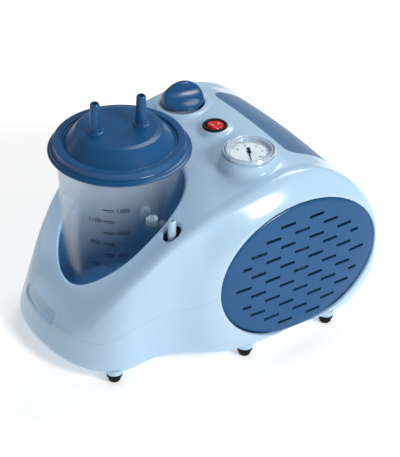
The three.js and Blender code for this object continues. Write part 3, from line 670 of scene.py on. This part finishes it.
def add_housing():
    verts, faces = surface(skin_field, *HOUSING_BOX, SKIN_PITCH)
    skin = obj_from("skin", verts, faces)
    lining = lining_solid(WALL)
    add_rear_panel(copy_of(skin, "rear_skin"), lining)
    walls = cut(copy_of(skin, "walls"), lining, keep=True)
    cut(walls, *hollows(), rear_region(GAP))
    cover = overlap(copy_of(walls, "cover"), seam_region(True))
    posts = merged("posts", [rod(POST_R, 17, 150, (x, y, 0)) for x, y in each_side(POSTS)])
    drill = [rod(SCREW_HOLE_R, 0, 32, (x, y, 0), segments=32) for x, y in each_side(POSTS)]
    cut(posts, merged("drills", drill))
    join(cover, overlap(posts, skin, keep=True))
    show(cover, "cover_shell", "housing", "pale_shell", "top_cover")
    base = overlap(walls, seam_region(False))
    bosses = [rod(8, FLOOR_Z - 1, FLOOR_Z + 4, (x, y, 0), edge=1) for x, y in each_side(FEET)]
    bosses += [rod(POST_R, FLOOR_Z + 1, 16.7, (x, y, 0)) for x, y in each_side(POSTS)]
    join(base, *bosses)
    cut(base, *[rod(SCREW_HOLE_R, 0, 20, (x, y, 0), segments=32) for x, y in each_side(POSTS)])
    show(base, "base_tray", "housing", "pale_shell", "base_shell")
    add_well()
    discard(skin)
    discard(lining)


def add_well():
    r, wall, floor = WELL["r"], WELL["wall"], WELL["floor"]
    profile = [(0, floor), (r + wall, floor), (r + wall, 200), (r, 200), (r, floor + wall),
               (0, floor + wall)]
    cup = lathe("cup", fillet(profile, [0, 3, 0, 0, 2.5, 0], 4), 144, (0, JAR_Y, 0))
    cut(cup, *[rod(5, 0, 260, (x, y, 0), segments=32) for x, y in each_side(POSTS)])
    inside = lining_solid(WALL + GAP)
    overlap(cup, inside)
    # The well takes the darker slate colour as painted shade: it stands for the shade inside the well,
    # seen through the jar.
    show(cup, "jar_well_cup", "housing", "slate_satin", "jar_well")


def add_rear_panel(skin, lining):
    """Rear panel with the grip pocket and the seat of the mains inlet."""
    half, y, z0, z1, wall = (POCKET[k] for k in ("half", "y", "z0", "z1", "wall"))
    mid = (z0 + z1) / 2
    panel = overlap(copy_of(skin, "panel"), rear_region(0))
    cut(panel, lining, keep=True)
    tub = prism("tub", rectangle(2 * (half + wall), z1 - z0 + 2 * wall, 9, 0, mid), y, 170, "y")
    overlap(tub, skin, keep=True)
    seat_w, seat_h = INLET["w"] / 2 + INLET["flange"], INLET["h"] / 2 + INLET["flange"]
    boss_outline = rectangle(2 * seat_w + 4, 2 * seat_h + 4, 4, INLET["x"], INLET["z"])
    boss = overlap(prism("boss", boss_outline, 140, 170, "y"), skin, keep=True)
    join(panel, tub, boss)
    hand = prism("hand", rectangle(2 * half, z1 - z0, 8, 0, mid, 8), y + wall, 180, "y")
    seat_outline = rectangle(2 * (seat_w + GAP), 2 * (seat_h + GAP), 2.4, INLET["x"], INLET["z"])
    seat = prism("seat", seat_outline, REAR_Y - 3 - GAP, 180, "y")
    opening = prism("opening", rectangle(INLET["w"] + 0.6, INLET["h"] + 0.6, 1, INLET["x"],
                                         INLET["z"]), 100, 180, "y")
    cut(panel, hand, seat, opening)
    show(panel, "rear_grip_panel", "housing", "slate_satin", "rear_handle")
    discard(skin)


# ---------------------------------------------------------------- grilles
def slot_outlines():
    """Round-ended slots as (y, z) outlines, row by row."""
    outlines = []
    middle = (len(SLOT_ROWS) - 1) / 2
    for row, count in enumerate(SLOT_ROWS):
        z = SLOT["z"] + (middle - row) * SLOT["row"]
        for n in range(count):
            start = n - (count - 1) / 2
            short = row in SHORT_ENDED and n in (0, count - 1)
            inner = SLOT["length"] / 2
            outer = SLOT["short"] - inner if short else inner
            y = SLOT["y"] + start * SLOT["pitch"]
            y0, y1 = (y - outer, y + inner) if start < 0 else (y - inner, y + outer)
            outlines.append(rectangle(y1 - y0, SLOT["height"], 0.99, (y0 + y1) / 2, z))
    return outlines


def add_grilles():
    a, b, x, dome, t = (GRILLE[k] for k in ("a", "b", "x", "dome", "t"))
    crown = [(u, x - dome * u ** 6) for u in np.linspace(0, 0.97, 24)]
    outer = crown + [(0.99, x - dome * 1.05), (1, x - dome * 1.35), (1, x - dome - 6)]
    inner = [(0.97, x - dome - 6), (0.97, x - dome - t), (0.88, x - t - 0.6), (0, x - t)]
    for label, side in (("right", 1), ("left", -1)):
        plate = lathe("plate", outer + inner, 192, axis="x")
        for v in plate.data.vertices:
            v.co = (side * v.co.x, v.co.y * a + GRILLE["y"] * MM, v.co.z * b + GRILLE["z"] * MM)
        facing_out(plate)
        slots = [prism("slot", line, 100, 120, "x") for line in slot_outlines()]
        tool = merged("slots", slots)
        for v in tool.data.vertices:
            v.co.x *= side
        cut(plate, facing_out(tool))
        show(plate, f"grille_{label}", "housing", "navy_gloss", f"side_grille_{label}")


# ---------------------------------------------------------------- jar and lid
def jar_radius(z):
    low = JAR["z0"] + 4
    u = min(max((z - low) / (JAR["shoulder"] - low), 0), 1)
    return JAR["r_low"] + (JAR["r_top"] - JAR["r_low"]) * u


def add_jar():
    low, top, z0, z1, wall, neck = (JAR[k] for k in ("r_low", "r_top", "z0", "z1", "wall", "neck"))
    profile = [(0, z0 + 1.2), (30, z0 + 1.2), (32, z0), (low - 2.5, z0), (low, z0 + 4),
               (top, JAR["shoulder"]), (neck, z1), (neck - wall, z1), (top - wall, JAR["shoulder"]),
               (low - wall, z0 + 6), (low - 6, z0 + wall + 0.9), (0, z0 + wall + 1.3)]
    radii = [0, 1, 1, 2.5, 6, 4, 0.6, 0.6, 4, 6, 5, 0]
    jar = lathe("jar", fillet(profile, radii, 5), 160, (0, JAR_Y, 0))
    show(jar, "clear_jar", "jar", "clear_jar", "collection_jar", sharp=50)
    add_graduations()


def wrap(verts, angle):
    """Bends flat (along, up, out) points onto the jar, centred on an angle."""
    bent = []
    for s, z, out in verts:
        r = jar_radius(z) + 0.02 + out
        turn = math.radians(angle) + s / jar_radius(z)
        bent.append((r * math.cos(turn), JAR_Y + r * math.sin(turn), z))
    return bent


def bar(s0, s1, z0, z1, depth=0.1, steps=6):
    """Thin bar in (along, up, out) space, split along its length so that it can bend."""
    verts, faces = [], []
    for n in range(steps + 1):
        s = s0 + (s1 - s0) * n / steps
        verts += [(s, z0, 0), (s, z1, 0), (s, z1, depth), (s, z0, depth)]
    for n in range(steps):
        a, b = 4 * n, 4 * n + 4
        faces += [[a + i, a + (i + 1) % 4, b + (i + 1) % 4, b + i] for i in range(4)]
    faces += [[0, 1, 2, 3], [4 * steps + i for i in (3, 2, 1, 0)]]
    return verts, faces


def lettering(text, size, depth=0.1):
    """Digits as a flat solid: (along, up, out) points in millimetres, centred, and faces."""
    font = bpy.data.curves.new("digits", "FONT")
    font.body = text
    font.size = size
    font.extrude = depth / 2
    font.resolution_u = 3
    font.align_x = "CENTER"
    font.align_y = "CENTER"
    holder = bpy.data.objects.new("digits", font)
    bpy.context.scene.collection.objects.link(holder)
    bpy.context.view_layer.update()
    graph = bpy.context.evaluated_depsgraph_get()
    mesh = bpy.data.meshes.new_from_object(holder.evaluated_get(graph))
    verts = [(v.co.x, v.co.y, v.co.z + depth / 2) for v in mesh.vertices]
    faces = [list(f.vertices) for f in mesh.polygons]
    bpy.data.objects.remove(holder)
    bpy.data.meshes.remove(mesh)
    return verts, faces


def shifted(shape, along, up):
    verts, faces = shape
    return [(s + along, z + up, out) for s, z, out in verts], faces


def add_graduations():
    verts, faces = [], []

    def put(shape):
        base = len(verts)
        verts.extend(wrap(shape[0], MARKS["angle"]))
        faces.extend([i + base for i in f] for f in shape[1])

    half = MARKS["length"] / 2
    for volume in range(MARKS["first"], MARKS["full"] + 1, 100):
        z = MARKS["z_full"] - MARKS["step"] * (MARKS["full"] - volume) / 100
        put(bar(-half, half, z - 0.35, z + 0.35))
        put(bar(-half + 2, half - 0.5, z - 1.75, z - 1.3))
        side = 1 if volume % 200 == 0 else -1
        put(shifted(lettering(str(volume), MARKS["digits"]), side * (half + MARKS["digits_out"]), z - 0.5))
    marks = facing_out(obj_from("marks", verts, faces))
    show(marks, "jar_graduations", "jar", "needle_black")


def add_lid():
    z, flange, wall, rim, ring, plateau, top = (
        LID[k] for k in ("z", "flange", "wall", "rim_top", "ring", "plateau", "top"))
    outer = [(flange - 0.5, z), (flange, z + 0.5), (flange - 0.3, z + 1.5), (wall + 2.8, z + 2.1),
             (wall + 2.4, z + 3.4), (wall + 0.5, z + 3.8), (wall, z + 4.6), (wall - 0.3, rim - 0.7),
             (wall - 1.1, rim), (ring + 0.6, rim), (ring - 0.1, rim - 2.2), (ring - 1.6, rim - 1.9),
             (plateau + 1, top - 0.9), (plateau - 4, top), (0, top)]
    inner = [(0, top - 2.4), (plateau - 1, top - 2.6), (ring - 2.5, rim - 4.4), (56.2, rim - 2.3),
             (56.2, z + 2), (flange - 2.4, z)]
    radii = [0.4, 0.4, 0.4, 0.4, 0.5, 0.4, 0.6, 0.5, 0.6, 0.5, 0.3, 0.8, 3, 6, 0, 0, 2, 1, 0.5, 0.5, 0.3]
    loop = fillet(outer + inner, radii, 5)
    shell = lathe("shell", on_axis_loop(loop), 160, (0, JAR_Y, 0))
    for x, y in PORTS:
        join(shell, spigot(x, y))
    for x, y in PORTS:
        cut(shell, rod(PORT["bore"], 190, 250, (x, y, 0), segments=48))
    show(shell, "lid_shell", "lid", "navy_gloss", "jar_lid")
    seal = lathe("seal", fillet([(52.8, 192.3), (55.8, 192.3), (55.8, 193), (52.8, 193)], 0.2, 2, True),
                 128, (0, JAR_Y, 0))
    show(seal, "lid_seal", "lid", "silicone", "lid_gasket")


def on_axis_loop(loop):
    """Turned loop that starts on the axis: the part after the axis point comes first."""
    first = next(i for i, p in enumerate(loop) if p[0] < 1e-6)
    second = first + 1
    return loop[second:] + loop[:second]


def spigot(x, y):
    top, foot = PORT["top"], LID["top"]
    profile = [(0, foot - 1), (PORT["collar"] + 0.6, foot - 1), (PORT["collar"], foot + 1.3),
               (PORT["r_foot"] + 0.5, foot + 1.9), (PORT["r_foot"], foot + 3.4),
               (PORT["r_top"], top - 1.2), (PORT["r_top"] - 0.7, top), (0, top)]
    return lathe("spigot", fillet(profile, [0, 0, 0.7, 0.9, 1, 0.4, 0.4, 0], 4), 64, (x, y, 0))


def add_float():
    x, y, top, neck, bottom = (FLOAT[k] for k in ("x", "y", "top", "neck", "bottom"))
    outline = [(3, top), (5, top), (5, neck), (7.6, neck - 2), (7.6, bottom), (3, bottom),
               (3, bottom + 1.6), (6.2, bottom + 1.6), (6.2, neck - 4), (3, neck - 1)]
    cage = lathe("cage", fillet(outline, 0.5, 3, True), 64, (x, y, 0))
    for w, d in ((4.8, 20), (20, 4.8)):
        cut(cage, prism("window", rectangle(w, d, 1, x, y), bottom + 3, neck - 7))
    show(cage, "float_tube", "lid", "float_white", "float_cage")
    plug = [(0, 104), (4.4, 104.2), (5.5, 105.5), (5.5, 111), (2.5, 113.2), (0, 113.4)]
    show(lathe("plug", fillet(plug, 0.8, 4), 64, (x, y, 0)), "float_plug", "float", "silicone",
         "shutoff_float")


# ---------------------------------------------------------------- controls on the deck
KNOB_BASE = KNOB["z"] + KNOB["lift"]
KNOB_TOP = KNOB_BASE + KNOB["height"]
GRIP_TURN = math.radians(KNOB["turn"])       # the grip's angle from +X, seen from above


def knob_field(x, y, z):
    """Low round cap with a grip across it, left by two slightly hollow flanks."""
    dx, dy, h = x - KNOB["x"], y - KNOB["y"], z - KNOB_BASE
    rho = np.hypot(dx, dy)
    along = dx * math.cos(GRIP_TURN) + dy * math.sin(GRIP_TURN)
    across = np.abs(dx * math.sin(GRIP_TURN) - dy * math.cos(GRIP_TURN))
    dome = (np.sqrt((rho / 20) ** 2 + (np.maximum(h - 1, 0) / 19.3) ** 2) - 1) * 18
    cap = (np.sqrt((rho / 20) ** 2 + (np.maximum(h - 1, 0) / 5.4) ** 2) - 1) * 6
    t = np.clip((19 - h) / 13, 0, 1.4)
    grip = smooth_max(dome, (across - 3 - 5.6 * t ** 2.2 + 0.005 * along ** 2) * 0.9, 1.6)
    return smooth_max(smooth_max(smooth_min(cap, grip, 0.7), dome, 0.5), -h, 0.8)


def add_knob():
    low = (KNOB["x"] - 22, KNOB["y"] - 22, KNOB_BASE - 2)
    high = (KNOB["x"] + 22, KNOB["y"] + 22, KNOB_TOP + 2)
    verts, faces = surface(knob_field, low, high, 0.55, 1)
    knob = obj_from("knob", verts, faces)
    join(knob, rod(3, 150, KNOB_BASE + 1, (KNOB["x"], KNOB["y"], 0), segments=32))
    show(knob, "vacuum_knob", "knob", "navy_gloss", "regulator_knob", sharp=60)


def add_switch():
    x, y, z, bezel = SWITCH["x"], SWITCH["y"], SWITCH["z"], SWITCH["bezel"]
    cup = [(0, 152), (9.5, 152), (9.5, z + GAP), (bezel, z + GAP), (bezel, z + 0.9),
           (bezel - 1, z + 2), (9.2, z + 2), (8.3, z + 1.3), (8.3, 156), (0, 156)]
    body = lathe("cup", fillet(cup, [0, 0.5, 0.2, 0.2, 0.4, 0.7, 0.6, 0.5, 1, 0], 4), 96, (x, y, 0))
    show(body, "switch_bezel", "housing", "black_plastic", "switch_body")
    tilt = Matrix.Rotation(math.radians(SWITCH["tilt"]), 4, "X")
    at = Matrix.Translation(Vector((x, y, z - 3)) * MM)
    rocker = rocker_cap()
    rocker.data.transform(at @ tilt)
    show(rocker, "rocker_cap", "rocker", "red_rocker", "switch_rocker")
    marks = rocker_marks()
    marks.data.transform(at @ tilt)
    show(marks, "rocker_marks", "rocker", "dial_white")


def rocker_height(y):
    return 4.45 + 1.15 * min(abs(y) / 7.2, 1) ** 1.4


def rocker_cap():
    """Round cap with two shallow wings that meet in a low middle."""
    r_max, segments = 7.6, 96
    levels = [(0.0, 0)] + [(r, 0) for r in (1.5, 3, 4.5, 5.8, 6.6)] + [(6.95, -0.1), (7.2, -0.35)]
    levels += [(7.45, -0.9), (r_max, -1.4)]
    verts, faces, rings = [], [], []
    for r, dip in levels:
        rings.append(len(verts))
        for n in range(segments):
            a = 2 * math.pi * n / segments
            px, py = r * math.cos(a), r * math.sin(a)
            verts.append((px, py, rocker_height(py) + dip))
    for r in (r_max, 0.0):
        rings.append(len(verts))
        for n in range(segments):
            a = 2 * math.pi * n / segments
            verts.append((r * math.cos(a), r * math.sin(a), -5))
    for one, two in zip(rings, rings[1:]):
        for n in range(segments):
            m = (n + 1) % segments
            faces.append((one + n, one + m, two + m, two + n))
    return facing_out(obj_from("cap", verts, faces))


def rocker_marks():
    top = rocker_height(4.2)
    ring = lathe("ring", [(1.05, top - 0.2), (1.5, top - 0.2), (1.5, top + 0.06), (1.05, top + 0.06)],
                 40, (0, 4.1, 0))
    stroke = prism("stroke", rectangle(0.55, 2.8, 0.2, 0, -4.1), top - 0.2, top + 0.06)
    return merged("marks", [ring, stroke])


def add_gauge():
    x, y, r, face, dial = (GAUGE[k] for k in ("x", "y", "ring", "face", "dial"))
    at = (x, y, 0)
    can = [(0, 150), (20.9, 150), (20.9, 173.3), (r - 1, 173.3), (r - 1, 174.3),
           (r - 1.6, 174.9), (face + 1.6, 174.9), (face + GAP, 174.2), (face + GAP, 172.2),
           (18, 172.2), (18, 152), (0, 152)]
    radii = [0, 0.6, 0.2, 0.3, 0.4, 0.3, 0.3, 0.2, 0.2, 0.2, 1, 0]
    body = lathe("can", fillet(can, radii, 3), 128, at)
    join(body, rod(3, 140, 150.5, at, segments=32))
    show(body, "gauge_case", "housing", "gauge_steel", "gauge_body")
    disc = [(0.9, dial - 0.7), (face, dial - 0.7), (face, dial), (0.9, dial)]
    show(lathe("dial", fillet(disc, 0.15, 2, True), 128, at), "gauge_face", "housing", "dial_white",
         "gauge_dial")
    show(gauge_scale(), "gauge_scale", "housing", "needle_black")
    lens = [(0, 175.0), (18.8, 174.9), (18.8, 175.7), (17.5, 176.1), (0, 176.8)]
    show(lathe("lens", fillet(lens, [0, 0.2, 0.3, 1, 0], 4), 128, at), "gauge_window", "housing",
         "clear_lens", "gauge_lens")
    bezel = [(face, 175.3), (r - 0.2, 175.3), (r, 175.5), (r, 176.2), (r - 0.5, 176.95),
             (r - 1.2, 176.95), (r - 1.3, 175.5), (r - 2.0, 175.5), (r - 2.1, 176.95),
             (face + 0.9, 176.95), (face, 176.0)]
    ring = lathe("bezel", fillet(bezel, 0.18, 3, True), 160, at)
    show(ring, "gauge_ring", "housing", "gauge_steel", "gauge_bezel")
    add_needle()


def gauge_scale():
    """Ticks and numbers printed on the gauge, with thin dark rings of painted shade on the dial and in the
    bezel's groove.
    """
    verts, faces = [], []

    def put(shape, turn):
        base = len(verts)
        c, s = math.cos(turn), math.sin(turn)
        for u, v, out in shape[0]:
            verts.append((GAUGE["x"] + u * c - v * s, GAUGE["y"] + u * s + v * c,
                          GAUGE["dial"] + 0.02 + out))
        faces.extend([i + base for i in f] for f in shape[1])

    for n in range(SCALE_STEPS + 1):
        angle = math.radians(NEEDLE_REST + SCALE_SWEEP * n / SCALE_STEPS)
        major = n % 10 == 0
        inner = 14.2 if major else 15.6 if n % 5 == 0 else 16.3
        width = 0.26 if major else 0.13
        put(bar(inner, 17.2, -width, width, 0.06, 1), angle)
        if major:
            along, up = 11.6 * math.cos(angle), 11.6 * math.sin(angle)
            put(shifted(lettering(str(n * 2), 2.7, 0.06), along, up), 0)
    scale = facing_out(obj_from("scale", verts, faces))
    # painted shade: thin dark rings on the dial and in the bezel's groove
    for inner, outer, z in SHADE_RINGS:
        line = [(inner, z), (outer, z), (outer, z + 0.06), (inner, z + 0.06)]
        join(scale, lathe("line", line, 128, (GAUGE["x"], GAUGE["y"], 0)))
    return scale


def add_needle():
    outline = [(-7.2, -1.4), (-3.4, -1.4), (-2.6, -0.45), (4, -0.5), (14.6, -0.15), (14.6, 0.15),
               (4, 0.5), (-2.6, 0.45), (-3.4, 1.4), (-7.2, 1.4)]
    z = GAUGE["dial"] + 0.3
    pointer = prism("pointer", fillet(outline, 0.2, 2, True), z + 0.15, z + 0.6)
    hub = lathe("hub", fillet([(0, z), (1.9, z), (1.9, z + 0.8), (1.4, z + 1), (0, z + 1)],
                              [0, 0.2, 0.3, 0.3, 0], 3), 48)
    needle = join(pointer, hub, rod(0.6, 156, z + 0.5, segments=24))
    turn = Matrix.Rotation(math.radians(NEEDLE_REST), 4, "Z")
    at = Matrix.Translation(Vector((GAUGE["x"], GAUGE["y"], 0)) * MM)
    needle.data.transform(at @ turn)
    show(needle, "gauge_pointer", "needle", "needle_black", "gauge_needle")


def add_nipple():
    r, bore, top, foot = (NIPPLE[k] for k in ("r", "bore", "top", "foot"))
    outline = [(bore, foot - 8), (r, foot - 8), (r, foot - 0.5), (r + 2.5, foot - 0.5),
               (r + 2.5, foot + 1.6), (r, foot + 1.6), (r - 0.2, top - 1.4), (r - 0.9, top), (bore, top)]
    spout = lathe("spout", fillet(outline, 0.5, 3, True), 64, (NIPPLE["x"], NIPPLE["y"], 0))
    show(spout, "hose_spigot", "housing", "pale_shell", "vacuum_nipple")


# ---------------------------------------------------------------- rear and underside
def add_inlet():
    w, h, lip, depth = INLET["w"], INLET["h"], INLET["flange"], INLET["depth"]
    at = (INLET["x"], REAR_Y - 3, INLET["z"])
    body = prism("body", rectangle(w, h, 1.5), -depth, 0.5, "y", at)
    flange = bevelled(prism("flange", rectangle(w + 2 * lip, h + 2 * lip, 3), 0, 2.6, "y", at), 0.5)
    join(body, flange)
    socket_outline = [(-12, 2), (12, 2), (12, 14), (7.5, 19.5), (-7.5, 19.5), (-12, 14)]
    socket = prism("socket", fillet(socket_outline, 1.5, 4, True), -16, 10, "y", at)
    bay = prism("bay", rectangle(22, 11, 0.8, 0, -14), -16, 10, "y", at)
    cut(body, socket, bay)
    for x, z in ((-7, 9), (0, 13), (7, 9)):
        join(body, prism("pin", rectangle(2, 4, 0.5, x, z), -16.5, -4, "y", at))
    show(body, "mains_inlet", "housing", "black_plastic", "power_inlet")
    drawer = bevelled(prism("drawer", rectangle(21.4, 10.4, 0.8, 0, -14), -15.5, 1.4, "y", at), 0.4)
    join(drawer, prism("tab", rectangle(8, 2, 0.9, 0, -16.5), 1, 3, "y", at))
    cut(drawer, prism("fuse_bay", rectangle(16, 17, 0.5, 0, -8.5), -13, -3, "y", at))
    show(drawer, "fuse_tray_front", "fuse_tray", "black_plastic", "fuse_drawer")


def add_feet():
    profile = [(0, 0.5), (2.4, 0.5), (3, 0), (4.4, 0), (5.5, 1.6), (5.7, 5.0), (7.2, 5.7), (7.4, 8.7),
               (0, 8.7)]
    outline = fillet(profile, [0, 0.3, 0.3, 0.8, 0.8, 0.8, 0.7, 0.5, 0], 3)
    for n, (x, y) in enumerate(each_side(FEET), 1):
        foot = lathe("foot", outline, 64, (x, y, 0))
        show(foot, f"rubber_foot_{n}", "housing", "foot_rubber", f"foot_{n}")


# ---------------------------------------------------------------- stage
# The camera's axes, what it looks at and how far away it stands, in metres.
CAMERA_BACK = (0.69673, -0.45062, 0.55813)
CAMERA_RIGHT = (0.54308, 0.83968, 0)
CAMERA_UP = (-0.46865, 0.30311, 0.82976)
CAMERA_TARGET = (0, 0, 0.090)
CAMERA_DISTANCE = 1.82058


def add_camera():
    back = Vector(CAMERA_BACK)
    data = bpy.data.cameras.new("camera")
    data.lens = 157.55
    data.sensor_width = 36
    data.shift_x = 0.0490
    data.shift_y = -0.0225
    data.clip_end = 20
    camera = bpy.data.objects.new("camera", data)
    turn = Matrix((CAMERA_RIGHT, CAMERA_UP, CAMERA_BACK)).transposed().to_4x4()
    camera.matrix_world = Matrix.Translation(Vector(CAMERA_TARGET) + back * CAMERA_DISTANCE) @ turn
    bpy.context.scene.collection.objects.link(camera)
    bpy.context.scene.camera = camera


def area_light(name, at, toward, size, power, color=(1, 1, 1), spread=180):
    data = bpy.data.lights.new(name, "AREA")
    data.shape = "ELLIPSE"
    data.size, data.size_y = size
    data.energy = power
    data.color = color
    data.spread = math.radians(spread)
    lamp = bpy.data.objects.new(name, data)
    aim = Vector(toward) - Vector(at)
    lamp.matrix_world = Matrix.Translation(at) @ aim.to_track_quat("-Z", "Y").to_matrix().to_4x4()
    bpy.context.scene.collection.objects.link(lamp)


FLOOR_HALF = 4000
FLOOR_LEVEL = -0.2


def add_stage():
    corners = [(-1, -1), (1, -1), (1, 1), (-1, 1)]
    floor = obj_from("floor", [(u * FLOOR_HALF, v * FLOOR_HALF, FLOOR_LEVEL) for u, v in corners],
                     [(0, 1, 2, 3)])
    floor.data.materials.append(material(
        "floor_paper", (0.985, 0.97, 0.96), 0.8, 0.004, 300, 0.02,
        Emission_Color=(1, 0.98, 0.95, 1), Emission_Strength=0.34))
    world = bpy.data.worlds.new("studio")
    world.use_nodes = True
    world.node_tree.nodes["Background"].inputs["Color"].default_value = (0.84, 0.93, 1, 1)
    world.node_tree.nodes["Background"].inputs["Strength"].default_value = 0.35
    bpy.context.scene.world = world
    area_light("key", (1.5, 0.34, 1.0), (0, 0, 0.1), (0.55, 0.55), 20, (1, 0.98, 0.95))
    area_light("top", (-0.5, 0.9, 1.5), (0, 0, 0.1), (0.9, 0.9), 12)
    area_light("fill", (-1.3, -0.9, 0.35), (0, 0, 0.06), (0.6, 0.6), 1.2)
    area_light("under_lid", (0, -0.06, 0.184), (0, -0.06, 0), (0.07, 0.07), 0.05, (0.66, 0.84, 1), 90)
    bpy.context.scene.view_settings.view_transform = "Standard"


MATERIALS = make_materials()
add_camera()
finish_carried_nodes()
add_housing()
add_grilles()
add_jar()
add_lid()
add_float()
add_knob()
add_switch()
add_gauge()
add_nipple()
add_inlet()
add_feet()
add_stage()
